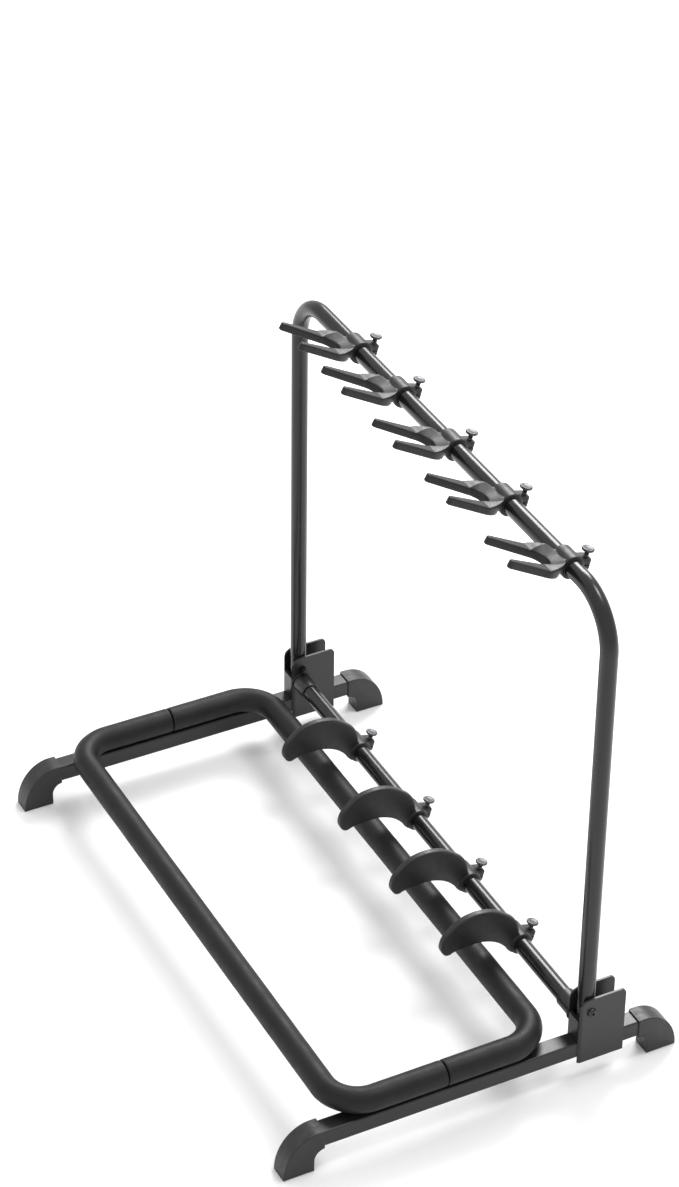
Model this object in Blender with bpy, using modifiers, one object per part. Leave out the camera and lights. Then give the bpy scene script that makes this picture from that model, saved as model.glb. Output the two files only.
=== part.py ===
"""Folding multi-guitar rack: two footed legs, a padded resting loop, a lower crossbar with
dividers, and a fold-down arch with padded neck yokes.

Frame: metres, +Z up, origin on the floor under the middle of the rack. The guitars face -Y,
and the bars run along X."""
import math

import bmesh
import bpy
from mathutils import Matrix, Vector

MM = 0.001
GAP = 0.3  # clearance between touching pieces

# legs and their foot caps
LEG_X = 337.5
LEG_SIZE = 20.0
LEG_WALL = 1.5
LEG_Z = (28.0, 48.0)
LEG_END_Y = 199.0
FOOT_TIP_Y = 235.0
FOOT_HEEL_Y = 199.0
FOOT_SLEEVE_Y = 187.0
FOOT_WIDTH = 23.4
FOOT_TOP_Z = 50.0

# round tube used for the arch, the crossbar and the resting loop
TUBE_R = 9.5
TUBE_BORE_R = 8.2

# brackets and the fold pivot
PLATE = 2.5
BRACKET_Y = (111.3, 166.8)
BRACKET_Z = (21.4, 106.5)
WEB_Y = (112.4, 115.5)
WEB_TOP_Z = 78.0
PIVOT_Y = 125.3
PIVOT_Z = 88.6
BOLT_R = 2.5
BOLT_HOLE_R = 2.8

# arch
ARCH_Y = 125.3
ARCH_TOP_Z = 601.0
ARCH_END_Z = 54.0
ARCH_BEND_R = 57.0

# lower crossbar and its sockets
BAR_Y = 123.3
BAR_Z = 72.0
SOCKET_R = 11.3
SOCKET_X = 300.0

# padded resting loop, made of a front half and a rear half
LOOP_Z = 62.5
FOAM_R = 14.2
LOOP_FRONT_Y = -165.0
LOOP_REAR_Y = 75.0
LOOP_SEAM_Y = -44.0
LOOP_BEND_R = 40.0
LOOP_SCREW_Y = (-85.0, -5.0)

# clamps, shared by the yokes and the dividers
BUSH_R = 11.0
COLLAR_BORE_R = 11.3
COLLAR_R = 13.2
EAR_TILT = math.radians(15.0)
EAR_END = 23.0
EAR_HALF_WIDTH = 8.0
EAR_LOW, EAR_HIGH = -4.5, 8.0
SLIT = (0.8, 2.3)
SCREW_AT = 19.0
SCREW_R = 2.0
SCREW_HOLE_R = 2.3
THUMB_R = 6.8

# neck yokes
YOKE_X = (-202.0, -103.0, 12.0, 126.0, 249.5)
YOKE_TILT = math.radians(29.0)
YOKE_COLLAR = 13.0
YOKE_EAR_X = 2.5
FORK_HALF_WIDTH = 28.0
FORK_CENTRE = 38.6
SLOT_R = 14.0
SLOT_CENTRE = 33.6
FINGER_X = 22.8
FINGER_R = 3.6
FINGER_TIP = 88.0
FORK_Z = (-11.0, -2.2)
FORK_EDGE = 2.0

# dividers
DIVIDER_X = (-185.0, -45.0, 78.0, 192.0)
DIVIDER_COLLAR = 14.5
DIVIDER_EAR_X = -2.5
DIVIDER_PLATE_X = (5.0, 13.0)
DIVIDER_EDGE = 2.5


def clear_scene():
    for obj in list(bpy.data.objects):
        bpy.data.objects.remove(obj, do_unlink=True)


def make_collection(name):
    collection = bpy.data.collections.new(name)
    bpy.context.scene.collection.children.link(collection)
    return collection


def make_material(name, colour, roughness, metallic):
    material = bpy.data.materials.new(name)
    material.use_nodes = True
    shader = material.node_tree.nodes["Principled BSDF"]
    shader.inputs["Base Color"].default_value = (*colour, 1.0)
    shader.inputs["Roughness"].default_value = roughness
    shader.inputs["Metallic"].default_value = metallic
    return material


def add_part(name, mesh, material, location=(0, 0, 0), rotation_x=0.0):
    """A finished sub-part; location is in millimetres."""
    obj = bpy.data.objects.new(name, mesh)
    obj.location = Vector(location) * MM
    obj.rotation_euler = (rotation_x, 0.0, 0.0)
    RACK.objects.link(obj)
    if not mesh.materials:
        mesh.materials.append(material)
    return obj


def add_tool(mesh, name="tool"):
    obj = bpy.data.objects.new(name, mesh)
    TOOLS.objects.link(obj)
    obj.hide_render = True
    obj.display_type = "WIRE"
    return obj


def mesh_from_bmesh(name, bm, matrix=None):
    if matrix is not None:
        bmesh.ops.transform(bm, matrix=matrix, verts=bm.verts)
    bmesh.ops.scale(bm, vec=(MM, MM, MM), verts=bm.verts)
    bmesh.ops.recalc_face_normals(bm, faces=bm.faces)
    mesh = bpy.data.meshes.new(name)
    bm.to_mesh(mesh)
    bm.free()
    return mesh


def box(x, y, z, matrix=None):
    """A box from its (low, high) limits along each axis."""
    bm = bmesh.new()
    bmesh.ops.create_cube(bm, size=1.0)
    size = Vector((x[1] - x[0], y[1] - y[0], z[1] - z[0]))
    centre = Vector((x[0] + x[1], y[0] + y[1], z[0] + z[1])) / 2
    bmesh.ops.scale(bm, vec=size, verts=bm.verts)
    bmesh.ops.translate(bm, vec=centre, verts=bm.verts)
    return mesh_from_bmesh("box", bm, matrix)


def cylinder(radius, low, high, axis="Z", centre=(0, 0, 0), sides=24, top_radius=None, matrix=None):
    """A cylinder (or a cone with top_radius) between two heights along an axis."""
    bm = bmesh.new()
    top = radius if top_radius is None else top_radius
    bmesh.ops.create_cone(bm, cap_ends=True, segments=sides, radius1=radius, radius2=top,
                          depth=high - low)
    bmesh.ops.translate(bm, vec=(0, 0, (low + high) / 2), verts=bm.verts)
    if axis == "X":
        bmesh.ops.rotate(bm, matrix=Matrix.Rotation(math.pi / 2, 3, "Y"), verts=bm.verts)
    bmesh.ops.translate(bm, vec=centre, verts=bm.verts)
    return mesh_from_bmesh("cylinder", bm, matrix)


def extrude(outline, low, high, matrix=None, bevel=0.0):
    """A flat outline (list of 2D points) extruded from low to high, as a closed mesh."""
    curve = bpy.data.curves.new("outline", "CURVE")
    curve.dimensions = "2D"
    curve.fill_mode = "BOTH"
    curve.extrude = (high - low) / 2 * MM
    curve.bevel_depth = bevel * MM
    curve.bevel_resolution = 0
    curve.offset = -bevel * MM
    curve.extrude -= bevel * MM
    spline = curve.splines.new("POLY")
    spline.points.add(len(outline) - 1)
    for point, (x, y) in zip(spline.points, outline):
        point.co = (x * MM, y * MM, 0.0, 1.0)
    spline.use_cyclic_u = True
    mesh = mesh_from_curve(curve)
    mesh.transform(Matrix.Translation((0, 0, (low + high) / 2 * MM)))
    if matrix is not None:
        mesh.transform(matrix)
        if matrix.determinant() < 0:
            mesh.flip_normals()
    return mesh


def mesh_from_curve(curve):
    curve.render_resolution_u = 0
    obj = bpy.data.objects.new("curve", curve)
    TOOLS.objects.link(obj)
    depsgraph = bpy.context.evaluated_depsgraph_get()
    mesh = bpy.data.meshes.new_from_object(obj.evaluated_get(depsgraph))
    bpy.data.objects.remove(obj, do_unlink=True)
    bm = bmesh.new()
    bm.from_mesh(mesh)
    bmesh.ops.remove_doubles(bm, verts=bm.verts, dist=0.000005)
    bmesh.ops.recalc_face_normals(bm, faces=bm.faces)
    bm.to_mesh(mesh)
    bm.free()
    return mesh


def rod(points, radius, resolution=4):
    """A round bar along a list of 3D points."""
    curve = bpy.data.curves.new("rod", "CURVE")
    curve.dimensions = "3D"
    curve.bevel_depth = radius * MM
    curve.bevel_resolution = resolution
    curve.use_fill_caps = True
    spline = curve.splines.new("POLY")
    spline.points.add(len(points) - 1)
    for point, position in zip(spline.points, points):
        point.co = (*(Vector(position) * MM), 1.0)
    return mesh_from_curve(curve)


def combine(mesh, cuts=(), joins=()):
    """The mesh with other meshes joined to it and then cut from it."""
    obj = add_tool(mesh, "base")
    for operation, others in (("UNION", joins), ("DIFFERENCE", cuts)):
        for other in others:
            modifier = obj.modifiers.new(operation.lower(), "BOOLEAN")
            modifier.operation = operation
            modifier.solver = "EXACT"
            modifier.object = add_tool(other)
    depsgraph = bpy.context.evaluated_depsgraph_get()
    result = bpy.data.meshes.new_from_object(obj.evaluated_get(depsgraph))
    bpy.data.objects.remove(obj, do_unlink=True)
    return result


def smooth(mesh, angle=35.0):
    mesh.shade_smooth()
    mesh.set_sharp_from_angle(angle=math.radians(angle))
    return mesh


def turned(profile, sides=24):
    """A closed turned body: a list of (radius, height) points from the top down."""
    mesh = bpy.data.meshes.new("profile")
    points = [(r * MM, 0.0, z * MM) for r, z in profile]
    mesh.from_pydata(points, [(i, i + 1) for i in range(len(points) - 1)], [])
    obj = add_tool(mesh, "turned")
    screw = obj.modifiers.new("turn", "SCREW")
    screw.steps = screw.render_steps = sides
    screw.use_merge_vertices = True
    screw.merge_threshold = 0.00001
    screw.use_smooth_shade = True
    depsgraph = bpy.context.evaluated_depsgraph_get()
    result = bpy.data.meshes.new_from_object(obj.evaluated_get(depsgraph))
    bpy.data.objects.remove(obj, do_unlink=True)
    bm = bmesh.new()
    bm.from_mesh(result)
    bmesh.ops.remove_doubles(bm, verts=bm.verts, dist=0.000005)
    bm.to_mesh(result)
    bm.free()
    return smooth(result)


def arc(centre, radii, start, end, steps):
    """Points on an elliptical arc, angles in degrees."""
    points = []
    for i in range(steps + 1):
        angle = math.radians(start + (end - start) * i / steps)
        points.append((centre[0] + radii[0] * math.cos(angle),
                       centre[1] + radii[1] * math.sin(angle)))
    return points


def u_path(half_width, far, end, radius, steps=6, overrun=0.0):
    """A U in a plane: (x, v) points from one end, round two bends at v = far, to the other end."""
    sign = 1.0 if far > end else -1.0
    right = [(half_width, end - sign * overrun)]
    bend = arc((half_width - radius, far - sign * radius), (radius, sign * radius), 0, 90, steps)
    right += bend
    return [(-x, v) for x, v in right] + right[::-1]


# ---------------------------------------------------------------- legs, feet and brackets

def leg_mesh():
    half = LEG_SIZE / 2
    inner = half - LEG_WALL
    z_low, z_high = LEG_Z
    cuts = [box((-inner, inner), (-LEG_END_Y - 5, LEG_END_Y + 5),
                (z_low + LEG_WALL, z_high - LEG_WALL))]
    cuts += [cylinder(BOLT_HOLE_R, z_low - 2, z_high + 2, centre=(0, y, 0), sides=12)
             for y in LOOP_SCREW_Y]
    return combine(box((-half, half), (-LEG_END_Y, LEG_END_Y), LEG_Z), cuts)


def foot_mesh():
    """A curved end cap pointing along +Y, with a square socket for the leg."""
    top_start = FOOT_TIP_Y - 41.0
    outline = arc((top_start, 0), (41.0, FOOT_TOP_Z), 0, 90, 12)
    outline.append((FOOT_SLEEVE_Y, FOOT_TOP_Z))
    outline += arc((FOOT_SLEEVE_Y, 13.0), (FOOT_HEEL_Y - FOOT_SLEEVE_Y, 13.3), 90, 0, 6)
    outline.append((FOOT_HEEL_Y, 0.0))
    upright = Matrix(((0, 0, 1, 0), (1, 0, 0, 0), (0, 1, 0, 0), (0, 0, 0, 1)))
    body = extrude(outline, -FOOT_WIDTH / 2, FOOT_WIDTH / 2, upright)
    half = LEG_SIZE / 2 + GAP
    socket = box((-half, half), (FOOT_SLEEVE_Y - 5, LEG_END_Y + 0.5),
                 (LEG_Z[0] - GAP, LEG_Z[1] + GAP))
    return combine(body, [socket])


def bracket_mesh():
    """A channel of two plates and a front web, standing over the leg, with the bar's socket."""
    outer = LEG_SIZE / 2 + GAP + PLATE
    inner = LEG_SIZE / 2 + GAP
    (y0, y1), (z0, z1) = BRACKET_Y, BRACKET_Z
    outline = [(y1, z0), (y1, z1 - 6), (y1 - 6, z1)]
    outline += arc((y0 + 14, z1 - 14), (14, 14), 90, 180, 6)
    outline += [(y0, z0)]
    upright = Matrix(((0, 0, 1, 0), (1, 0, 0, 0), (0, 1, 0, 0), (0, 0, 0, 1)))
    body = extrude(outline, -outer, outer, upright)
    socket = combine(cylinder(SOCKET_R, SOCKET_X - LEG_X, -inner - 1.0, "X", (0, BAR_Y, BAR_Z)),
                     [cylinder(TUBE_R + GAP, SOCKET_X - LEG_X - 5, -outer - 0.001, "X",
                               (0, BAR_Y, BAR_Z))])
    cuts = [box((-inner, inner), (WEB_Y[1], y1 + 10), (z0 - 10, z1 + 10)),
            box((-inner, inner), (y0 - 10, WEB_Y[1] + 5), (WEB_TOP_Z, z1 + 10)),
            box((-inner, inner), (y0 - 10, WEB_Y[1] + 5), (z0 - 10, LEG_Z[1] + GAP)),
            box((-inner, inner), (y0 - 10, WEB_Y[0]), (z0 - 5, z1 + 5)),
            cylinder(BOLT_HOLE_R, -outer - 5, outer + 5, "X", (0, PIVOT_Y, PIVOT_Z), 16)]
    plates = combine(body, cuts)
    return combine(plates, joins=[socket])


def mirrored(mesh, axis):
    """A copy mirrored across the plane through the origin square to the axis."""
    bm = bmesh.new()
    bm.from_mesh(mesh)
    scale = [-1.0 if a == axis else 1.0 for a in "XYZ"]
    bmesh.ops.scale(bm, vec=scale, verts=bm.verts)
    bmesh.ops.reverse_faces(bm, faces=bm.faces)
    copy = bpy.data.meshes.new(mesh.name + "_mirrored")
    bm.to_mesh(copy)
    bm.free()
    return copy


def build_base():
    leg, foot, bracket = leg_mesh(), smooth(foot_mesh()), smooth(bracket_mesh())
    front_foot = smooth(mirrored(foot, "Y"))
    left_bracket = smooth(mirrored(bracket, "X"))
    bolt = turned([(0, 3.4), (2.6, 3.1), (4.4, 2.0), (5.3, 0.3), (5.3, 0.0), (BOLT_R, 0.0),
                   (BOLT_R, -31.8), (0, -31.8)], 16)
    nut = combine(cylinder(4.6, 0, 4, sides=6), [cylinder(BOLT_HOLE_R, -1, 5, sides=12)])
    screw = turned([(0, 30.0), (BOLT_R, 30.0), (BOLT_R, 0.0), (5.0, 0.0), (5.0, -1.5),
                    (3.5, -3.0), (0, -3.3)], 12)
    for side, sign in (("left", -1), ("right", 1)):
        x = sign * LEG_X
        add_part(side + "_leg", leg, STEEL, (x, 0, 0))
        add_part("front_" + side + "_foot", front_foot, PLASTIC, (x, 0, 0))
        add_part("rear_" + side + "_foot", foot, PLASTIC, (x, 0, 0))
        add_part(side + "_bracket", bracket if sign > 0 else left_bracket, STEEL, (x, 0, 0))
        plate_face = LEG_SIZE / 2 + GAP + PLATE + GAP
        head = add_part(side + "_pivot_bolt", bolt, ZINC,
                        (x + sign * plate_face, PIVOT_Y, PIVOT_Z))
        head.rotation_euler = (0.0, sign * math.pi / 2, 0.0)
        back = add_part(side + "_pivot_nut", nut, ZINC, (x - sign * plate_face, PIVOT_Y, PIVOT_Z))
        back.rotation_euler = (0.0, -sign * math.pi / 2, 0.0)
        for place, y in zip(("front", "rear"), LOOP_SCREW_Y):
            add_part(place + "_" + side + "_loop_screw", screw, ZINC, (x, y, LEG_Z[0] - GAP))
    hollow = combine(cylinder(TUBE_R, -324.3, 324.3, "X"),
                     [cylinder(TUBE_BORE_R, -330, 330, "X", sides=24)])
    add_part("lower_crossbar", smooth(hollow), STEEL, (0, BAR_Y, BAR_Z))


def build_loop():
    """The front and rear halves of the resting loop: a bent tube in a foam sleeve each."""
    hole = {"front": LOOP_SCREW_Y[0], "rear": LOOP_SCREW_Y[1]}
    for name, far, end in (("front", LOOP_FRONT_Y, LOOP_SEAM_Y - 0.6),
                           ("rear", LOOP_REAR_Y, LOOP_SEAM_Y + 0.6)):
        path = [(x, y, 0.0) for x, y in u_path(LEG_X, far, end, LOOP_BEND_R)]
        longer = [(x, y, 0.0) for x, y in u_path(LEG_X, far, end, LOOP_BEND_R, overrun=5.0)]
        holes = [(sign * LEG_X, hole[name], 0.0) for sign in (-1, 1)]
        tube_cuts = [rod(longer, TUBE_BORE_R)]
        tube_cuts += [cylinder(BOLT_HOLE_R, -20, 0, centre=c, sides=12) for c in holes]
        foam_cuts = [rod(longer, TUBE_R + GAP)]
        foam_cuts += [cylinder(BOLT_HOLE_R, -20, 0, centre=c, sides=12) for c in holes]
        tube = combine(rod(path, TUBE_R), tube_cuts)
        foam = combine(rod(path, FOAM_R, 6), foam_cuts)
        add_part(name + "_loop_tube", smooth(tube), STEEL, (0, 0, LOOP_Z))
        add_part(name + "_foam_sleeve", smooth(foam), FOAM, (0, 0, LOOP_Z))


def build_arch():
    """The fold-down arch; its origin is on the fold axis."""
    def path(overrun):
        points = u_path(LEG_X, ARCH_TOP_Z, ARCH_END_Z, ARCH_BEND_R, overrun=overrun)
        return [(x, ARCH_Y - PIVOT_Y, z - PIVOT_Z) for x, z in points]
    cuts = [rod(path(5.0), TUBE_BORE_R),
            cylinder(BOLT_HOLE_R, -LEG_X - 20, -LEG_X + 20, "X", sides=12),
            cylinder(BOLT_HOLE_R, LEG_X - 20, LEG_X + 20, "X", sides=12)]
    mesh = combine(rod(path(0.0), TUBE_R, 6), cuts)
    add_part("upright_arch", smooth(mesh), STEEL, (0, PIVOT_Y, PIVOT_Z))


# ---------------------------------------------------------------- clamps, yokes and dividers

def clamp_pieces(half_length, ear_x=0.0):
    """The collar with its two ears, and the cuts: bore, slit and screw hole."""
    tilt = Matrix.Rotation(-EAR_TILT, 4, "X")
    ears = (ear_x - EAR_HALF_WIDTH, ear_x + EAR_HALF_WIDTH)
    collar = cylinder(COLLAR_R, -half_length, half_length, "X")
    block = box(ears, (6.0, EAR_END), (EAR_LOW, EAR_HIGH), tilt)
    cuts = [cylinder(COLLAR_BORE_R, -half_length - 5, half_length + 5, "X"),
            box((-half_length - 5, half_length + 5), (5.0, EAR_END + 5), SLIT, tilt),
            cylinder(SCREW_HOLE_R, -30, 30, centre=(ear_x, SCREW_AT, 0), sides=12, matrix=tilt)]
    return collar, block, cuts


def yoke_mesh():
    collar, ears, cuts = clamp_pieces(YOKE_COLLAR, YOKE_EAR_X)
    # the fork lies in a tilted plane: u runs along X, s out along the fingers, n up
    cosine, sine = math.cos(YOKE_TILT), math.sin(YOKE_TILT)
    fork_frame = Matrix(((1, 0, 0, 0), (0, -cosine, sine, 0), (0, sine, cosine, 0), (0, 0, 0, 1)))
    tip = arc((FINGER_X, FINGER_TIP - FINGER_R), (FINGER_R, FINGER_R), 0, 180, 6)
    slot_end = arc((0, SLOT_CENTRE), (SLOT_R, SLOT_R), 0, -180, 12)
    back = arc((0, FORK_CENTRE), (FORK_HALF_WIDTH, FORK_HALF_WIDTH), 180, 360, 14)
    left_tip = [(-x, s) for x, s in reversed(tip)]
    outline = tip + slot_end + left_tip + back
    fork = extrude(outline, *FORK_Z, fork_frame, FORK_EDGE)
    return smooth(combine(collar, cuts, [ears, fork]))


def divider_mesh():
    """An arched hook standing on the crossbar; the outline is in (y, z) from the bar's axis."""
    back_y, back_z = -2.0, 12.5
    top = [(back_y, back_z), (-6, 33), (-19, 47), (-36, 57.5), (-54, 61.5), (-71, 59.5),
           (-82, 54), (-91, 46), (-96.5, 39), (-99, 29), (-97, 22), (-93, 17.5)]
    underside = [(-88, 16.8), (-83, 18.8), (-73, 19.8), (-60, 20.8), (-52, 20.6), (-44, 18.6),
                 (-35.5, 15.2), (-27.5, 10), (-20, 2.5), (-15, -5), (-9, -9)]
    upright = Matrix(((0, 0, 1, 0), (1, 0, 0, 0), (0, 1, 0, 0), (0, 0, 0, 1)))
    plate = extrude(top + underside + [(0, 0)], *DIVIDER_PLATE_X, upright, DIVIDER_EDGE)
    collar, ears, cuts = clamp_pieces(DIVIDER_COLLAR, DIVIDER_EAR_X)
    return smooth(combine(collar, cuts, [ears, plate]), 40)


def build_clamps():
    bush = combine(cylinder(BUSH_R, -YOKE_COLLAR - 1, YOKE_COLLAR + 1, "X"),
                   [cylinder(TUBE_R + GAP, -20, 20, "X")])
    long_bush = combine(cylinder(BUSH_R, -DIVIDER_COLLAR - 1, DIVIDER_COLLAR + 1, "X"),
                        [cylinder(TUBE_R + GAP, -20, 20, "X")])
    smooth(bush)
    smooth(long_bush)
    head_low = 14.4
    thumbscrew = turned([(0, head_low + 3.0), (THUMB_R - 1, head_low + 2.8),
                         (THUMB_R, head_low + 1.8), (THUMB_R, head_low + 0.8),
                         (THUMB_R - 0.8, head_low), (2.6, head_low - 0.6),
                         (2.6, EAR_HIGH + GAP), (SCREW_R, EAR_HIGH + GAP), (SCREW_R, -10.5),
                         (0, -10.5)], 14)
    nut = combine(cylinder(4.04, EAR_LOW - GAP - 3.2, EAR_LOW - GAP, sides=6),
                  [cylinder(SCREW_HOLE_R, -20, 0, sides=12)])
    yoke, divider = yoke_mesh(), divider_mesh()

    def place(kind, number, x, y, z, liner, body, ear_x):
        name = "%s_%d" % (kind, number)
        add_part(name + "_bush", liner, PLASTIC, (x, y, z))
        add_part(name, body, RUBBER, (x, y, z))
        at_y, at_z = SCREW_AT * math.cos(EAR_TILT), -SCREW_AT * math.sin(EAR_TILT)
        add_part(name + "_thumbscrew", thumbscrew, ZINC, (x + ear_x, y + at_y, z + at_z),
                 -EAR_TILT)
        add_part(name + "_nut", nut, ZINC, (x + ear_x, y + at_y, z + at_z), -EAR_TILT)

    for number, x in enumerate(YOKE_X, 1):
        place("yoke", number, x, ARCH_Y, ARCH_TOP_Z, bush, yoke, YOKE_EAR_X)
    for number, x in enumerate(DIVIDER_X, 1):
        place("divider", number, x, BAR_Y, BAR_Z, long_bush, divider,
              DIVIDER_EAR_X)


clear_scene()
RACK = make_collection("guitar_rack")
TOOLS = make_collection("cutters")
STEEL = make_material("black_steel", (0.030, 0.030, 0.032), 0.35, 0.0)
FOAM = make_material("black_foam", (0.012, 0.012, 0.012), 0.95, 0.0)
PLASTIC = make_material("black_plastic", (0.035, 0.035, 0.036), 0.5, 0.0)
RUBBER = make_material("dark_rubber", (0.020, 0.020, 0.021), 0.6, 0.0)
ZINC = make_material("zinc_screw", (0.55, 0.55, 0.56), 0.3, 1.0)
build_base()
build_loop()
build_arch()
build_clamps()
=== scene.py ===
"""Looks for the folding guitar rack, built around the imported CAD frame.

Lengths are in millimetres until a mesh is finished; the rack stands on z = 0, its bars run
along x, and guitars face -y."""
import math

import bmesh
import bpy
from mathutils import Matrix, Vector, noise


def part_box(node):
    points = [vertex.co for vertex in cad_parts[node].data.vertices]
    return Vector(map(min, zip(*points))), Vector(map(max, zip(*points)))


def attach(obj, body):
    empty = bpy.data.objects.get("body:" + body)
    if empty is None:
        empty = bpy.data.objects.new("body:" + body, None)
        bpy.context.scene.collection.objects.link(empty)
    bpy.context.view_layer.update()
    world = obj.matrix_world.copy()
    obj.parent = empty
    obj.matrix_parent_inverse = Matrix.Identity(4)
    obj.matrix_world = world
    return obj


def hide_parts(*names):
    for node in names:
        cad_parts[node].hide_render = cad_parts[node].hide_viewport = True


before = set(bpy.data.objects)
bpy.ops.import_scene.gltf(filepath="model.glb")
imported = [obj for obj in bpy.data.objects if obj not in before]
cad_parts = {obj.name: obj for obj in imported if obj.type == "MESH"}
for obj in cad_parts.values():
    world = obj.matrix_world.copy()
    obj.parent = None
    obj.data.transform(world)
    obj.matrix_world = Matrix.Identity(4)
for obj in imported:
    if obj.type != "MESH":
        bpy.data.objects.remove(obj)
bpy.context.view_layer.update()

MM = 0.001
LEG_X = 337.5
LEG_HALF = 10.0
LEG_WALL = 1.5
LEG_END = 199.0
LEG_Z = (28.0, 48.0)
TUBE_R = 9.5
TUBE_BORE = 8.2
PIVOT = (125.3, 88.6)            # y and z of the fold axis
BAR = (123.3, 72.0)              # y and z of the lower crossbar
ARCH_TOP = 601.0
ARCH_END = 54.0
LOOP_Z = 62.5
LOOP_BEND = 40.0
FOAM_R = 14.2
FOAM_BORE = 9.8

COLLAR_R = 13.2                  # clamps of the yokes and dividers
COLLAR_BORE = 11.3
BUSH_R = 11.0
BUSH_BORE = 9.8
YOKE_HALF = 13.0
DIVIDER_HALF = 14.5
YOKE_EAR_X = 2.5
DIVIDER_EAR_X = -2.5
EAR_TILT = math.radians(15.0)
EAR_WIDTH = 8.0                  # half width along the bar
EAR_REACH = 23.0
EAR_ROUND = 4.0
EAR_THICK = (-4.5, 8.0)
SLIT = (0.8, 2.3)
SCREW_AT = 19.0
SCREW_HOLE = 2.3
HEAD_LOW = 14.4                  # underside of a thumbscrew's head above the ear's middle
SHAFT_END = -10.5

FORK_TILT = math.radians(29.0)
FORK_THICK = (-11.0, -2.2)
FINGER_X = 22.8
FINGER_R = 3.6
FINGER_CENTRE = 84.4
FORK_R = 28.0
FORK_CENTRE = 38.6
SLOT_R = 13.0
SLOT_CENTRE = 36.0
DIVIDER_THICK = (5.0, 13.0)
DIVIDER_OUTLINE = (  # y and z from the bar's axis
    (-2, 12.5), (-6, 33), (-19, 47), (-36, 57.5), (-54, 61.5), (-71, 59.5), (-82, 54), (-91, 46),
    (-96.5, 39), (-99, 29), (-97, 22), (-93, 17.5), (-88, 16.8), (-83, 18.8), (-73, 19.8),
    (-60, 20.8), (-52, 20.6), (-44, 18.6), (-35.5, 15.2), (-27.5, 10), (-20, 2.5), (-15, -5),
    (-9, -9), (0, 0))

LEAN = Matrix.Rotation(-EAR_TILT, 4, "X")
SHARP_ANGLE = math.radians(38)
TUCK = Matrix(((0, 0, 1, 0), (1, 0, 0, 0), (0, 1, 0, 0), (0, 0, 0, 1)))  # (y, z, x) to (x, y, z)
SIDES = (("left", -1), ("right", 1))


# ---------------------------------------------------------------- mesh helpers

def centre_of(node):
    low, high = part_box(node)
    return (low + high) * 0.5


def to_mesh(bm, name="mesh"):
    bmesh.ops.recalc_face_normals(bm, faces=bm.faces)
    mesh = bpy.data.meshes.new(name)
    bm.to_mesh(mesh)
    bm.free()
    return mesh


def evaluated(obj):
    """The object's mesh with its modifiers applied; the object is removed."""
    depsgraph = bpy.context.evaluated_depsgraph_get()
    mesh = bpy.data.meshes.new_from_object(obj.evaluated_get(depsgraph))
    bpy.data.objects.remove(obj, do_unlink=True)
    return mesh


def temporary(mesh):
    obj = bpy.data.objects.new("temporary", mesh)
    bpy.context.scene.collection.objects.link(obj)
    return obj


def modified(mesh, *modifiers):
    """The mesh after a list of (kind, settings) modifiers; a Boolean takes its mesh as 'tool'."""
    obj = temporary(mesh)
    tools = []
    for kind, settings in modifiers:
        modifier = obj.modifiers.new(kind.lower(), kind)
        for key, value in settings.items():
            if key == "tool":
                tools.append(temporary(value))
                modifier.object = tools[-1]
            else:
                setattr(modifier, key, value)
    mesh = evaluated(obj)
    for tool in tools:
        bpy.data.objects.remove(tool, do_unlink=True)
    return mesh


def join(*meshes):
    """Meshes put together as one mesh, without a Boolean."""
    bm = bmesh.new()
    for mesh in meshes:
        bm.from_mesh(mesh)
    result = bpy.data.meshes.new("joined")
    bm.to_mesh(result)
    bm.free()
    return result


def cut(mesh, *tools):
    return modified(mesh, *[("BOOLEAN", {"operation": "DIFFERENCE", "solver": "EXACT", "tool": t})
                            for t in tools])


def fused(mesh, *tools):
    return modified(mesh, *[("BOOLEAN", {"operation": "UNION", "solver": "EXACT", "tool": t})
                            for t in tools])


def rounded(mesh, width, segments=3, angle=35):
    """Edges sharper than the angle are bevelled."""
    bm = bmesh.new()
    bm.from_mesh(mesh)
    bmesh.ops.remove_doubles(bm, verts=bm.verts, dist=0.001)
    bmesh.ops.dissolve_limit(bm, angle_limit=math.radians(1.0), verts=bm.verts, edges=bm.edges)
    bm.to_mesh(mesh)
    bm.free()
    return modified(mesh, ("BEVEL", {"width": width, "segments": segments,
                                     "limit_method": "ANGLE", "angle_limit": math.radians(angle),
                                     "use_clamp_overlap": True}))


def box(x, y, z, matrix=None):
    bm = bmesh.new()
    bmesh.ops.create_cube(bm, size=1.0)
    bmesh.ops.scale(bm, vec=(x[1] - x[0], y[1] - y[0], z[1] - z[0]), verts=bm.verts)
    bmesh.ops.translate(bm, vec=((x[0] + x[1]) / 2, (y[0] + y[1]) / 2, (z[0] + z[1]) / 2),
                        verts=bm.verts)
    if matrix is not None:
        bmesh.ops.transform(bm, matrix=matrix, verts=bm.verts)
    return to_mesh(bm)


def cylinder(radius, low, high, along="Z", centre=(0, 0, 0), sides=48, top=None, matrix=None):
    bm = bmesh.new()
    bmesh.ops.create_cone(bm, cap_ends=True, segments=sides, radius1=radius,
                          radius2=radius if top is None else top, depth=high - low)
    bmesh.ops.translate(bm, vec=(0, 0, (low + high) / 2), verts=bm.verts)
    if along == "X":
        bmesh.ops.rotate(bm, matrix=Matrix.Rotation(math.pi / 2, 3, "Y"), verts=bm.verts)
    bmesh.ops.translate(bm, vec=centre, verts=bm.verts)
    if matrix is not None:
        bmesh.ops.transform(bm, matrix=matrix, verts=bm.verts)
    return to_mesh(bm)


def arc(centre, radii, start, end, steps):
    angles = [math.radians(start + (end - start) * i / steps) for i in range(steps + 1)]
    return [(centre[0] + radii[0] * math.cos(a), centre[1] + radii[1] * math.sin(a))
            for a in angles]


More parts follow.
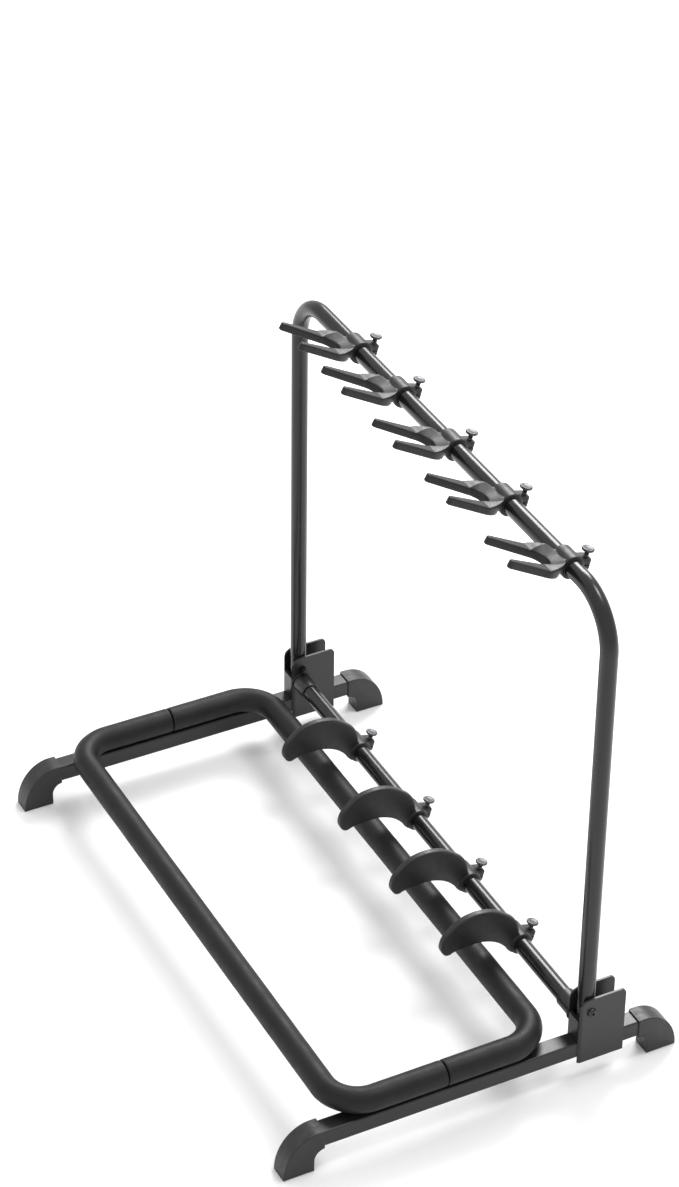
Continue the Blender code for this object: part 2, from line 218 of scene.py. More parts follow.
def smooth_outline(points, steps=5):
    """A Catmull-Rom curve through a closed ring of 2D points."""
    result = []
    count = len(points)
    for i in range(count):
        p0, p1, p2, p3 = (Vector(points[(i + k) % count]) for k in (-1, 0, 1, 2))
        for j in range(steps):
            t = j / steps
            q = 0.5 * (2 * p1 + (p2 - p0) * t + (2 * p0 - 5 * p1 + 4 * p2 - p3) * t * t
                       + (3 * p1 - p0 - 3 * p2 + p3) * t ** 3)
            result.append((q.x, q.y))
    return result


def slab(outline, low, high, matrix=None, edge=0.0, edge_steps=4):
    """A flat outline with thickness from low to high, its edges rounded by edge."""
    curve = bpy.data.curves.new("outline", "CURVE")
    curve.dimensions = "2D"
    curve.fill_mode = "BOTH"
    curve.bevel_depth = edge
    curve.bevel_resolution = edge_steps
    curve.offset = -edge
    curve.extrude = (high - low) / 2 - edge
    spline = curve.splines.new("POLY")
    spline.points.add(len(outline) - 1)
    for point, (x, y) in zip(spline.points, outline):
        point.co = (x, y, 0.0, 1.0)
    spline.use_cyclic_u = True
    mesh = evaluated(temporary(curve))
    bm = bmesh.new()
    bm.from_mesh(mesh)
    bmesh.ops.remove_doubles(bm, verts=bm.verts, dist=0.001)
    bmesh.ops.translate(bm, vec=(0, 0, (low + high) / 2), verts=bm.verts)
    if matrix is not None:
        bmesh.ops.transform(bm, matrix=matrix, verts=bm.verts)
    return to_mesh(bm)


def turned(profile, sides=48, knurl=None, matrix=None):
    """A closed turned body from (radius, height) points, top first. knurl = (teeth, depth, low,
    high) flutes the points between two heights that lie furthest out."""
    bm = bmesh.new()
    reach = max(r for r, _ in profile)
    rings = []
    for radius, height in profile:
        if radius < 1e-6:
            rings.append([bm.verts.new((0, 0, height))])
            continue
        ring = []
        for i in range(sides):
            angle = 2 * math.pi * i / sides
            r = radius
            if knurl and knurl[2] <= height <= knurl[3] and radius > 0.9 * reach:
                r -= knurl[1] * (0.5 - 0.5 * math.cos(knurl[0] * angle)) ** 2
            ring.append(bm.verts.new((r * math.cos(angle), r * math.sin(angle), height)))
        rings.append(ring)
    for upper, lower in zip(rings, rings[1:]):
        for i in range(sides):
            j = (i + 1) % sides
            corners = [upper[i % len(upper)], upper[j % len(upper)], lower[j % len(lower)],
                       lower[i % len(lower)]]
            unique = list(dict.fromkeys(corners))
            if len(unique) > 2:
                bm.faces.new(unique)
    if matrix is not None:
        bmesh.ops.transform(bm, matrix=matrix, verts=bm.verts)
    return to_mesh(bm)


def sweep(path, normal, stations, sides=48, shape=None):
    """A tube along a flat path. stations are (path index, radius) rings in order, and the last
    joins the first, so the wall is closed. shape(position, outward) may move a point. A third
    number in a station shifts its ring along the path."""
    normal = Vector(normal).normalized()
    points = [Vector(p) for p in path]
    bm = bmesh.new()
    rings = []
    for index, radius, *shift in stations:
        ahead = points[min(index + 1, len(points) - 1)]
        behind = points[max(index - 1, 0)]
        tangent = (ahead - behind).normalized()
        side = tangent.cross(normal)
        centre = points[index] + tangent * (shift[0] if shift else 0.0)
        ring = []
        for i in range(sides):
            angle = 2 * math.pi * i / sides
            outward = side * math.cos(angle) + normal * math.sin(angle)
            position = centre + outward * radius
            if shape:
                position = shape(position, outward)
            ring.append(bm.verts.new(position))
        rings.append(ring)
    for k, ring in enumerate(rings):
        following = rings[(k + 1) % len(rings)]
        for i in range(sides):
            j = (i + 1) % sides
            bm.faces.new((ring[i], ring[j], following[j], following[i]))
    return to_mesh(bm)


def wall_stations(count, outer, inner, edge=0.4):
    """Stations of a tube wall: the outside with softened ends, then back along the inside."""
    corner = [(0, outer - edge, 0.0), (0, outer - edge * 0.3, edge * 0.3), (0, outer, edge)]
    out = corner + [(i, outer) for i in range(1, count - 1)]
    out += [(count - 1, r, -s) for _, r, s in reversed(corner)]
    back = [(i, inner) for i in range(count - 1, -1, -1)]
    return out + back


def u_path(half, far, end, radius, bend_steps=20, straight_steps=1):
    """(x, v) points of a U: from (-half, end), round two bends at v = far, to (half, end)."""
    sign = 1.0 if far > end else -1.0
    bend_start = far - sign * radius
    right = [(half, end + (bend_start - end) * i / straight_steps) for i in range(straight_steps)]
    right += arc((half - radius, bend_start), (radius, sign * radius), 0, 90, bend_steps)
    middle = [(half - radius - 2 * (half - radius) * i / (2 * straight_steps), far)
              for i in range(1, 2 * straight_steps)]
    left = [(-x, v) for x, v in right]
    return left + [(-x, v) for x, v in middle] + right[::-1]


def add_piece(name, mesh, body, material, nodes, location=(0, 0, 0), matrix=None):
    """A finished piece: millimetres to metres, shaded, placed, and riding on its body."""
    mesh.transform(Matrix.Scale(MM, 4))
    mesh.materials.clear()
    mesh.materials.append(material)
    mesh.shade_smooth()
    mesh.set_sharp_from_angle(angle=SHARP_ANGLE)
    mesh = modified(mesh, ("WEIGHTED_NORMAL", {"keep_sharp": True, "weight": 90}))
    obj = bpy.data.objects.new(name, mesh)
    bpy.context.scene.collection.objects.link(obj)
    obj.matrix_world = Matrix.Translation(Vector(location) * MM) @ (matrix or Matrix.Identity(4))
    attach(obj, body)
    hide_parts(*nodes)
    return obj


# ---------------------------------------------------------------- materials

class Nodes:
    """Short calls for building a material's node tree around its Principled shader."""

    def __init__(self, name, colour, roughness, metallic=0.0, **sockets):
        self.material = bpy.data.materials.new(name)
        self.material.use_nodes = True
        self.tree = self.material.node_tree
        self.shader = self.tree.nodes["Principled BSDF"]
        self.shader.inputs["Base Color"].default_value = (*colour, 1)
        self.shader.inputs["Roughness"].default_value = roughness
        self.shader.inputs["Metallic"].default_value = metallic
        for key, value in sockets.items():
            self.shader.inputs[key.replace("_", " ")].default_value = value
        self.place = self.add("ShaderNodeTexCoord").outputs["Object"]
        self.height = None

    def add(self, kind, **settings):
        node = self.tree.nodes.new(kind)
        for key, value in settings.items():
            setattr(node, key, value)
        return node

    def link(self, output, node_input):
        self.tree.links.new(output, node_input)

    def noise(self, scale, detail=3.0, roughness=0.55, stretch=None):
        node = self.add("ShaderNodeTexNoise")
        node.inputs["Scale"].default_value = scale
        node.inputs["Detail"].default_value = detail
        node.inputs["Roughness"].default_value = roughness
        source = self.place
        if stretch:
            mapping = self.add("ShaderNodeMapping")
            mapping.inputs["Scale"].default_value = stretch
            self.link(source, mapping.inputs["Vector"])
            source = mapping.outputs["Vector"]
        self.link(source, node.inputs["Vector"])
        return node.outputs["Fac"]

    def pores(self, scale):
        node = self.add("ShaderNodeTexVoronoi")
        node.inputs["Scale"].default_value = scale
        self.link(self.place, node.inputs["Vector"])
        return node.outputs["Distance"]

    def remap(self, value, low, high, to_low, to_high):
        node = self.add("ShaderNodeMapRange")
        for key, number in zip(("From Min", "From Max", "To Min", "To Max"),
                               (low, high, to_low, to_high)):
            node.inputs[key].default_value = number
        self.link(value, node.inputs["Value"])
        return node.outputs["Result"]

    def math(self, operation, a, b):
        node = self.add("ShaderNodeMath", operation=operation)
        for socket, value in zip(node.inputs, (a, b)):
            if isinstance(value, (int, float)):
                socket.default_value = value
            else:
                self.link(value, socket)
        return node.outputs[0]

    def facing_up(self):
        normal = self.add("ShaderNodeNewGeometry").outputs["Normal"]
        split = self.add("ShaderNodeSeparateXYZ")
        self.link(normal, split.inputs[0])
        return split.outputs["Z"]

    def axis(self, letter):
        split = self.add("ShaderNodeSeparateXYZ")
        self.link(self.place, split.inputs[0])
        return split.outputs[letter]

    def colours(self, value, *stops):
        """A colour ramp; each stop is (position, colour)."""
        node = self.add("ShaderNodeValToRGB")
        ramp = node.color_ramp
        while len(ramp.elements) < len(stops):
            ramp.elements.new(0.5)
        for element, (position, colour) in zip(ramp.elements, stops):
            element.position = position
            element.color = (*colour, 1)
        self.link(value, node.inputs["Fac"])
        return node.outputs["Color"]

    def blend(self, factor, a, b):
        node = self.add("ShaderNodeMix", data_type="RGBA")
        for key, value in (("A", a), ("B", b)):
            socket = [s for s in node.inputs if s.name == key and s.type == "RGBA"][0]
            if isinstance(value, tuple):
                socket.default_value = (*value, 1)
            else:
                self.link(value, socket)
        self.link(factor, node.inputs["Factor"])
        return [s for s in node.outputs if s.type == "RGBA"][0]

    def bump(self, height, distance, strength=1.0):
        """Adds a layer of relief; distance is in metres."""
        node = self.add("ShaderNodeBump")
        node.inputs["Strength"].default_value = strength
        node.inputs["Distance"].default_value = distance
        self.link(height, node.inputs["Height"])
        if self.height is not None:
            self.link(self.height, node.inputs["Normal"])
        self.height = node.outputs["Normal"]

    def done(self, colour=None, roughness=None):
        if colour is not None:
            self.link(colour, self.shader.inputs["Base Color"])
        if roughness is not None:
            self.link(roughness, self.shader.inputs["Roughness"])
        if self.height is not None:
            self.link(self.height, self.shader.inputs["Normal"])
        return self.material


def edge_wear(n):
    """How much an outer edge is rubbed, from the mesh's pointiness broken up by noise."""
    point = n.add("ShaderNodeNewGeometry").outputs["Pointiness"]
    worn = n.remap(point, 0.56, 0.64, 0.0, 1.0)
    return n.math("MULTIPLY", worn, n.remap(n.noise(160, 4), 0.45, 0.65, 0.0, 1.0))


def paint_material(name, rough):
    """Semi-gloss black powder coat: fine orange peel, faint handling marks, and dust with painted
    top light on upward faces.
    """
    n = Nodes(name, (0.012, 0.012, 0.013), rough, Specular_IOR_Level=0.42)
    tone = n.colours(n.noise(9, 4), (0.35, (0.0085, 0.0085, 0.009)),
                     (0.65, (0.0125, 0.0125, 0.013)))
    # Partly dust and partly painted top light: faces pointing up are lightened towards grey,
    # standing in for the light falling on them.
    dust_and_top_light = n.math("MULTIPLY", n.remap(n.facing_up(), 0.55, 1.0, 0.0, 1.0),
                  n.remap(n.noise(55, 5), 0.45, 0.75, 0.0, 0.16))
    tone = n.blend(dust_and_top_light, tone, (0.10, 0.098, 0.095))
    tone = n.blend(n.math("MULTIPLY", edge_wear(n), 0.35), tone, (0.11, 0.11, 0.115))
    smudge = n.remap(n.noise(28, 5, 0.6), 0.3, 0.7, rough - 0.02, rough + 0.03)
    scratch = n.remap(n.noise(140, 8, 0.7), 0.66, 0.76, 0.0, 0.08)
    n.bump(n.noise(620, 2), 0.00002)
    n.bump(n.noise(2600, 2), 0.000006)
    return n.done(tone, n.math("ADD", smudge, scratch))


def foam_material():
    """Closed-cell foam tube: dark and satin, with fine open pores darkened by painted shade, and
    slight mottling.
    """
    n = Nodes("black_foam", (0.009, 0.009, 0.009), 0.6, Specular_IOR_Level=0.24)
    cells = n.pores(1150)
    tone = n.colours(n.noise(30, 5), (0.3, (0.0075, 0.0075, 0.0078)),
                     (0.7, (0.0115, 0.0115, 0.0118)))
    # Painted shade: the centres of the open pores are blended towards near black.
    pore_shade = n.remap(cells, 0.0, 0.35, 0.55, 1.0)
    dark = n.blend(pore_shade, (0.003, 0.003, 0.003), tone)
    n.bump(cells, 0.00012, 0.8)
    n.bump(n.noise(3800, 2), 0.00004)
    return n.done(dark, n.remap(n.noise(70, 4), 0.3, 0.7, 0.42, 0.56))


def plastic_material(name, colour, rough, grain, mould_line=False):
    """Moulded plastic or rubber with a fine spark-eroded grain."""
    n = Nodes(name, colour, rough, Specular_IOR_Level=0.38)
    light = tuple(min(1.0, c * 1.45) for c in colour)
    tone = n.colours(n.noise(22, 4), (0.3, colour), (0.72, light))
    # Partly dust and partly painted top light: faces pointing up are lightened towards grey,
    # standing in for the light falling on them.
    dust_and_top_light = n.math("MULTIPLY", n.remap(n.facing_up(), 0.5, 1.0, 0.0, 1.0),
                  n.remap(n.noise(85, 5), 0.42, 0.72, 0.02, 0.16))
    tone = n.blend(dust_and_top_light, tone, (0.13, 0.128, 0.125))
    tone = n.blend(n.math("MULTIPLY", edge_wear(n), 0.4), tone, (0.085, 0.085, 0.087))
    n.bump(n.noise(grain, 3), 0.00005)
    n.bump(n.noise(60, 3), 0.00012)
    if mould_line:
        line = n.math("ABSOLUTE", n.axis("X"), 0.0)
        n.bump(n.remap(line, 0.0001, 0.0003, 1.0, 0.0), 0.00012)
    return n.done(tone, n.remap(n.noise(120, 4), 0.3, 0.7, rough - 0.07, rough + 0.09))


def metal_material(name, colour, rough, wear=0.5):
    """Plated or blackened screw metal with fine turning marks and stains."""
    n = Nodes(name, colour, rough, metallic=1.0)
    stain = tuple(c * wear for c in colour)
    tone = n.colours(n.noise(420, 4), (0.3, stain), (0.62, colour))
    n.bump(n.noise(900, 3, 0.6, (1, 1, 7)), 0.00002)
    n.bump(n.noise(260, 3), 0.00003)
    return n.done(tone, n.remap(n.noise(700, 4), 0.3, 0.7, rough - 0.06, rough + 0.12))


PAINT = paint_material("black_powder_coat", 0.33)
GLOSS = paint_material("black_bar_coat", 0.22)
FOAM = foam_material()
FOOT = plastic_material("black_foot_plastic", (0.013, 0.013, 0.0135), 0.4, 1900, mould_line=True)
LINER = plastic_material("black_liner_plastic", (0.006, 0.006, 0.006), 0.4, 1500)
RUBBER = plastic_material("dark_moulded_rubber", (0.009, 0.009, 0.0095), 0.42, 1300)
ZINC = metal_material("grey_zinc", (0.13, 0.13, 0.135), 0.34)
BLACKED = metal_material("black_oxide", (0.06, 0.06, 0.063), 0.3, 0.6)


# ---------------------------------------------------------------- base

def leg_piece(side, sign):
    """Square tube with drawn corners."""
    mesh = rounded(box((-LEG_HALF, LEG_HALF), (-LEG_END, LEG_END), LEG_Z), 2.0, 4)
    bore = LEG_HALF - LEG_WALL
    hollow = box((-bore, bore), (-LEG_END - 21, LEG_END + 21),
                 (LEG_Z[0] + LEG_WALL, LEG_Z[1] - LEG_WALL))
    hollow = rounded(hollow, 1.0, 2)
    add_piece(side + "_leg_tube", cut(mesh, hollow), "base", PAINT,
              [side + "_leg"], (sign * LEG_X, 0, 0))


def foot_mesh():
    """Curved end cap along +y, with a socket for the leg's end and soft moulded edges."""
    tip, heel, sleeve, top = 235.0, 199.0, 187.0, 50.0
    outline = arc((tip - 41, 0), (41, top), 0, 90, 26)
    outline.append((sleeve, top))
    outline += arc((sleeve, 13), (heel - sleeve, 13.3), 90, 0, 14)
    outline.append((heel, 0))
    body = slab(outline, -11.7, 11.7, TUCK, edge=1.3, edge_steps=3)
    body = cut(body, box((-10.3, 10.3), (sleeve - 5, 199.5), (27.7, 48.3)))
    return body


def bracket_mesh():
    """Folded channel standing over the leg, for the right-hand side; the bar side is -x."""
    outer, inner, bend = 12.8, 10.3, 4.0
    front, web_back, rear = 111.3, 115.5, 166.8
    half = [(outer, rear), (outer, front + bend)]
    half += arc((outer - bend, front + bend), (bend, bend), 0, -90, 6)
    outside = half + [(-x, y) for x, y in reversed(half)]
    inside = [(-inner, rear), (-inner, web_back + 1.2)]
    inside += arc((-inner + 1.2, web_back + 1.2), (1.2, 1.2), 180, 270, 3)
    inside += [(-x, y) for x, y in reversed(inside)]
    channel = slab(outside + inside, 21.4, 106.5)
    side = [(rear, 21.4), (rear, 100.5)]
    side += arc((rear - 6, 100.5), (6, 6), 0, 90, 4)
    side += arc((front + 14, 92.5), (14, 14), 90, 180, 12)
    side += [(front, 21.4)]
    envelope = slab(side, -20, 20, TUCK)
    channel = modified(channel, ("BOOLEAN", {"operation": "INTERSECT", "solver": "EXACT",
                                             "tool": envelope}))
    window = box((-inner, inner), (front - 5, web_back + 3), (78, 120))
    arch_way = box((-inner, inner), (front - 5, web_back + 3), (10, 48.3))
    channel = cut(channel, window, arch_way)
    channel = rounded(channel, 0.55, 2, 50)
    return channel


def bead(path_point, count, size, seed):
    """A weld bead: overlapping ripples along a path given as a function of 0 to 1."""
    bm = bmesh.new()
    for i in range(count):
        t = i / count
        place = Vector(path_point(t))
        wobble = noise.noise(Vector((seed, i * 0.7, 0.0)))
        bmesh.ops.create_uvsphere(bm, u_segments=10, v_segments=6,
                                  radius=size * (1.0 + 0.18 * wobble),
                                  matrix=Matrix.Translation(place))
    mesh = to_mesh(bm)
    return modified(mesh, ("REMESH", {"mode": "VOXEL", "voxel_size": 0.45}),
                    ("SMOOTH", {"factor": 0.6, "iterations": 3}))


def socket_mesh():
    """Stub sleeve for the crossbar, welded on the bracket's inner plate."""
    y, z = BAR
    stations = [(0, 10.7, 0), (0, 11.0, 0.15), (0, 11.3, 0.6), (1, 11.3), (1, 9.8), (0, 9.8)]
    sleeve = sweep([(-37.5, y, z), (-11.2, y, z)], (0, 0, 1), stations, 64)
    ring = bead(lambda t: (-13.1, y + 11.9 * math.cos(2 * math.pi * t),
                           z + 11.9 * math.sin(2 * math.pi * t)), 44, 1.25, 3.0)
    return join(sleeve, ring)


def loop_half(name, far, end):
    """Half of the resting loop: the bent tube and its foam sleeve, which is a little uneven."""
    flat = u_path(LEG_X, far, end, LOOP_BEND, 22, 10)
    path = [(x, y, LOOP_Z) for x, y in flat]
    count = len(path)
    tube = sweep(path, (0, 0, 1), wall_stations(count, TUBE_R, TUBE_BORE), 32)
    add_piece(name + "_loop_bar", tube, "base", PAINT, [name + "_loop_tube"])

    def uneven(position, outward):
        swell = 0.16 * noise.noise(position * 0.035) + 0.05 * noise.noise(position * 0.16)
        return position + outward * swell

    fine = u_path(LEG_X, far, end, LOOP_BEND, 44, 22)
    path = [(x, y, LOOP_Z) for x, y in fine]
    outer = [(0, FOAM_R - 1.6, 0.0), (0, FOAM_R - 0.7, 0.25), (0, FOAM_R - 0.2, 0.8),
             (0, FOAM_R, 1.7)]
    count = len(path)
    stations = outer + [(i, FOAM_R) for i in range(1, count - 1)]
    stations += [(count - 1, r, -s) for _, r, s in reversed(outer)]
    stations += [(i, FOAM_BORE) for i in range(count - 1, -1, -1)]
    foam = add_piece(name + "_foam", sweep(path, (0, 0, 1), stations, 56, uneven), "base",
                     FOAM, [name + "_foam_sleeve"])


def pivot_hardware(side, sign):
    """Button-head bolt with a hexagon socket, and a nylon-insert nut on the inner plate."""
    head = turned([(0, 3.4), (1.6, 3.35), (3.2, 2.9), (4.4, 2.1), (5.1, 1.0), (5.3, 0.35),
                   (5.1, 0.0), (2.5, 0.0), (2.5, -31.0), (2.2, -31.8), (0, -31.8)], 48)
    recess = cylinder(1.75, 1.2, 5, sides=6)
    turn = Matrix.Rotation(sign * math.pi / 2, 4, "Y")
    face = 10 + 0.3 + 2.5 + 0.3
    add_piece(side + "_pivot_screw", rounded(cut(head, recess), 0.12, 2, 50), "base",
              BLACKED, [side + "_pivot_bolt"],
              (sign * (LEG_X + face), *PIVOT), turn)
    nut = hexagon_nut(4.6, 4.0, 2.8)
    add_piece(side + "_pivot_hexnut", nut, "base", BLACKED,
              [side + "_pivot_nut"], (sign * (LEG_X - face), *PIVOT),
              Matrix.Rotation(-sign * math.pi / 2, 4, "Y"))


def hexagon_nut(corner, height, bore):
    """A hexagon nut with its top corners turned down."""
    blank = cylinder(corner, 0, height, sides=6)
    turned_down = turned([(0, height), (corner * 0.9, height), (corner * 1.02, height * 0.84),
                          (corner * 1.02, 0.3), (corner * 0.95, 0), (0, 0)], 64)
    nut = modified(blank, ("BOOLEAN", {"operation": "INTERSECT", "solver": "EXACT",
                                       "tool": turned_down}))
    return rounded(cut(nut, cylinder(bore, -1, height + 1, sides=32)), 0.12, 2, 40)


def loop_screw_mesh():
    """Pan-head screw with a cross recess, driven up from below the leg."""
    body = turned([(0, 30.0), (2.1, 30.0), (2.5, 29.4), (2.5, 0.0), (4.9, 0.0), (5.0, -0.5),
                   (4.7, -1.6), (3.7, -2.7), (2.2, -3.2), (0, -3.3)], 40)
    arms = [box((-2.6, 2.6), (-0.45, 0.45), (-4.5, -1.7)), box((-0.45, 0.45), (-2.6, 2.6),
                                                               (-4.5, -1.7))]
    return cut(body, *arms)


def build_base():
    foot = foot_mesh()
    bracket = join(bracket_mesh(), socket_mesh())
    flip = Matrix.Diagonal((-1, 1, 1, 1))
    turn = Matrix.Rotation(math.pi, 4, "Z")
    for side, sign in SIDES:
        leg_piece(side, sign)
        for place, spin in (("rear", Matrix.Identity(4)), ("front", turn)):
            add_piece("%s_%s_foot_cap" % (place, side), foot.copy(), "base", FOOT,
                      ["%s_%s_foot" % (place, side)], (sign * LEG_X, 0, 0), spin)
        mesh = bracket.copy()
        if sign < 0:
            mesh.transform(flip)
            mesh.flip_normals()
        add_piece(side + "_bracket_plate", mesh, "base", PAINT,
                  [side + "_bracket"], (sign * LEG_X, 0, 0))
        pivot_hardware(side, sign)
        for place in ("front", "rear"):
            node = "%s_%s_loop_screw" % (place, side)
            where = centre_of(node)
            add_piece(node + "_pan", loop_screw_mesh(), "base", ZINC, [node],
                      (where.x / MM, where.y / MM, 27.7))
    path = [(x, 0, 0) for x in range(-324, 325, 27)]
    bar = sweep(path, (0, 0, 1), wall_stations(len(path), TUBE_R, TUBE_BORE), 64)
    add_piece("lower_bar", bar, "base", GLOSS, ["lower_crossbar"], (0, *BAR))
    loop_half("front", -165.0, -44.6)
    loop_half("rear", 75.0, -43.4)


def build_arch():
    path = [(x, 0, z) for x, z in u_path(LEG_X, ARCH_TOP, ARCH_END, 57.0, 30, 12)]
    mesh = sweep(path, (0, 1, 0), wall_stations(len(path), TUBE_R, TUBE_BORE), 64)
    add_piece("arch_tube", mesh, "arch", GLOSS, ["upright_arch"],
              (0, PIVOT[0], 0))


# ---------------------------------------------------------------- clamps

def collar_solid(half_length, ear_x):
    """Collar with rolled ends and two ears, before the bore is cut."""
    lip = [(0, half_length), (COLLAR_R - 1.2, half_length), (COLLAR_R - 0.3, half_length - 0.3),
           (COLLAR_R, half_length - 1.0)]
    lip += [(r, -x) for r, x in reversed(lip)]
    collar = turned(lip, 64, matrix=Matrix.Rotation(math.pi / 2, 4, "Y"))
    inset = EAR_WIDTH - EAR_ROUND
    corner = (EAR_ROUND, EAR_ROUND)
    plan = [(ear_x + EAR_WIDTH, 4)]
    plan += arc((ear_x + inset, EAR_REACH - EAR_ROUND), corner, 0, 90, 6)
    plan += arc((ear_x - inset, EAR_REACH - EAR_ROUND), corner, 90, 180, 6)
    plan += [(ear_x - EAR_WIDTH, 4)]
    ears = slab(plan, *EAR_THICK, LEAN, edge=1.0, edge_steps=3)
    return collar, ears


def clamp_cuts(half_length, ear_x):
    reach = half_length + 5
    return [cylinder(COLLAR_BORE, -reach, reach, "X", sides=64),
            box((-reach, reach), (5, 30), SLIT, LEAN),
            cylinder(SCREW_HOLE, -30, 30, centre=(ear_x, SCREW_AT, 0), sides=24, matrix=LEAN)]


def moulded(solids, voxel, passes):
    """Solids melted into one moulded skin with small fillets where they meet, then thinned."""
    mesh = join(*solids)
    return modified(mesh, ("REMESH", {"mode": "VOXEL", "voxel_size": voxel}),
                    ("SMOOTH", {"factor": 0.5, "iterations": passes}),
                    ("DECIMATE", {"ratio": 0.22}))


def yoke_mesh():
    """Forked neck yoke: rounded fingers, and a dished saddle rising from the slot's root to the
    collar's crown."""
    c, s = math.cos(FORK_TILT), math.sin(FORK_TILT)
    fork_frame = Matrix(((1, 0, 0, 0), (0, -c, s, 0), (0, s, c, 0), (0, 0, 0, 1)))
    finger = (FINGER_R, FINGER_R)
    slot_at = (0, SLOT_CENTRE, 0)
    fingers = arc((FINGER_X, FINGER_CENTRE), finger, 0, 180, 12)
    fingers += arc((0, SLOT_CENTRE), (SLOT_R, SLOT_R), 0, -180, 28)
    fingers += arc((-FINGER_X, FINGER_CENTRE), finger, 0, 180, 12)
    back = arc((0, FORK_CENTRE), (FORK_R, FORK_R), 180, 360, 36)
    fork = slab(fingers + back, *FORK_THICK, fork_frame, edge=1.3, edge_steps=4)
    saddle = slab(back, -9.0, 13.0, fork_frame)
    slope = math.atan2(12.7, 30.0)  # the saddle's top rises this steeply towards the collar
    above = box((-40, 40), (-60, 60), (0, 40), fork_frame
                @ Matrix.Translation((0, 38.0, FORK_THICK[1])) @ Matrix.Rotation(-slope, 4, "X"))
    dish = cylinder(9.9, -4.2, 15.8, centre=slot_at, sides=96, top=40.7, matrix=fork_frame)
    bore = box((-SLOT_R, SLOT_R), (SLOT_CENTRE, 80), (-20, 20), fork_frame)
    bore = fused(bore, cylinder(SLOT_R, -20, 20, centre=slot_at, sides=96, matrix=fork_frame))
    saddle = cut(saddle, above, dish, bore)
    collar, ears = collar_solid(YOKE_HALF, YOKE_EAR_X)
    body = moulded([collar, ears, fork, saddle], 0.55, 13)
    return cut(body, *clamp_cuts(YOKE_HALF, YOKE_EAR_X))


def divider_mesh():
    """Arched divider with a full round ridge, standing on its clamp."""
    plate = slab(smooth_outline(DIVIDER_OUTLINE), *DIVIDER_THICK, TUCK, edge=1.6, edge_steps=4)
    collar, ears = collar_solid(DIVIDER_HALF, DIVIDER_EAR_X)
    body = moulded([collar, ears, plate], 0.62, 6)
    return cut(body, *clamp_cuts(DIVIDER_HALF, DIVIDER_EAR_X))


def bush_mesh(half_length):
    """Liner bush with a thin flange edge showing at the collar's mouth."""
    lip = BUSH_R - 0.3
    stations = [(0, lip, 0), (0, BUSH_R, 0.3), (1, BUSH_R, -0.3), (1, lip, 0), (1, BUSH_BORE),
                (0, BUSH_BORE)]
    return sweep([(-half_length - 1, 0, 0), (half_length + 1, 0, 0)], (0, 0, 1), stations, 64)


def thumbscrew_mesh():
    """Knurled flat head on a shouldered, threaded stem."""
    low = HEAD_LOW
    profile = [(0, low + 2.55), (3.4, low + 2.55), (4.0, low + 2.8), (5.6, low + 3.0),
               (6.3, low + 2.8), (6.75, low + 2.3), (6.8, low + 1.9), (6.8, low + 1.0),
               (6.6, low + 0.5), (6.1, low), (3.2, low - 0.3), (2.7, low - 0.9), (2.6, low - 1.6)]
    z = low - 1.6
    while z > 8.9:
        profile += [(2.6, z), (2.3, z - 0.3)]
        z -= 0.6
    profile += [(2.6, 8.3), (2.0, 8.3), (2.0, SHAFT_END + 0.5), (1.6, SHAFT_END), (0, SHAFT_END)]
    return turned(profile, 96, knurl=(24, 0.5, low + 0.4, low + 2.4))


def build_clamps():
    yoke, divider = yoke_mesh(), divider_mesh()
    screw = thumbscrew_mesh()
    nut = hexagon_nut(4.04, 3.2, SCREW_HOLE)
    nut.transform(Matrix.Translation((0, 0, -8.0)))
    meshes = {"yoke": (yoke, bush_mesh(YOKE_HALF), YOKE_EAR_X),
              "divider": (divider, bush_mesh(DIVIDER_HALF), DIVIDER_EAR_X)}
    for kind, count in (("yoke", 5), ("divider", 4)):
        body_mesh, bush, ear_x = meshes[kind]
        for number in range(1, count + 1):
            node = "%s_%d" % (kind, number)
            where = centre_of(node + "_bush") / MM
            out = (where.x + ear_x, where.y + SCREW_AT * math.cos(EAR_TILT),
                   where.z - SCREW_AT * math.sin(EAR_TILT))
            add_piece(node + "_liner", bush.copy(), node + "_slider", LINER,
                      [node + "_bush"], where)
            add_piece(node + "_body", body_mesh.copy(), node + "_holder",
                      RUBBER, [node], where)
            add_piece(node + "_hexnut", nut.copy(), node + "_holder", ZINC,
                      [node + "_nut"], out, LEAN)
            add_piece(node + "_knob", screw.copy(), node + "_screw", ZINC,
                      [node + "_thumbscrew"], out, LEAN)


# ---------------------------------------------------------------- camera, floor and light

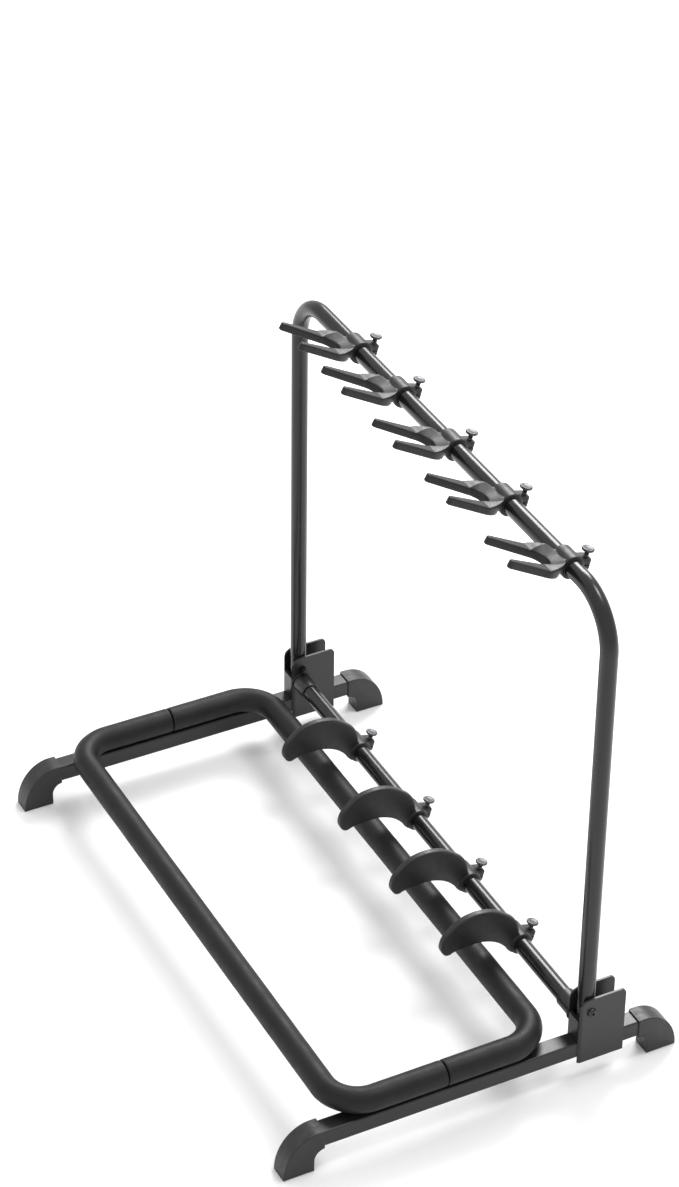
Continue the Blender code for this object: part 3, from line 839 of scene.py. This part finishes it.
def build_camera():
    azimuth, elevation, roll = (math.radians(a) for a in (62.446, 35.206, 0.736))
    back = Vector((math.sin(azimuth) * math.cos(elevation),
                   -math.cos(azimuth) * math.cos(elevation), math.sin(elevation)))
    right = Vector((math.cos(azimuth), math.sin(azimuth), 0.0))
    up = back.cross(right)
    across = right * math.cos(roll) + up * math.sin(roll)
    upward = up * math.cos(roll) - right * math.sin(roll)
    target = Vector((-0.1390, 0.0758, 0.3324))
    camera = bpy.data.objects.new("camera", bpy.data.cameras.new("camera"))
    bpy.context.scene.collection.objects.link(camera)
    camera.matrix_world = (Matrix.Translation(target + back * 3.920)
                           @ Matrix((across, upward, back)).transposed().to_4x4())
    camera.data.sensor_width = 36.0
    camera.data.lens = 107.71
    bpy.context.scene.camera = camera


def area_light(name, place, target, size, power, shape=1.0):
    data = bpy.data.lights.new(name, "AREA")
    data.shape = "RECTANGLE"
    data.size = size
    data.size_y = size * shape
    data.energy = power
    light = bpy.data.objects.new(name, data)
    bpy.context.scene.collection.objects.link(light)
    light.location = place
    light.rotation_euler = (Vector(target) - Vector(place)).to_track_quat("-Z", "Y").to_euler()
    return light


def build_studio():
    bm = bmesh.new()
    bmesh.ops.create_grid(bm, x_segments=1, y_segments=1, size=40.0)
    floor = bpy.data.objects.new("floor", to_mesh(bm))
    floor.location.z = -0.0002
    bpy.context.scene.collection.objects.link(floor)
    n = Nodes("pale_floor", (0.93, 0.93, 0.93), 0.9)
    floor.data.materials.append(n.done())
    world = bpy.data.worlds.new("studio")
    world.use_nodes = True
    background = world.node_tree.nodes["Background"]
    background.inputs["Color"].default_value = (1, 1, 1, 1)
    background.inputs["Strength"].default_value = 0.9
    bpy.context.scene.world = world
    bpy.context.scene.view_settings.view_transform = "Standard"
    area_light("rear_softbox", (-2.13, 1.92, 2.7), (0.2, 0.1, 0.1), 1.7, 120, 0.85)
    area_light("overhead", (0.45, 1.15, 3.0), (0.1, 0.1, 0.3), 0.9, 32)


build_camera()
build_studio()
build_base()
build_arch()
build_clamps()
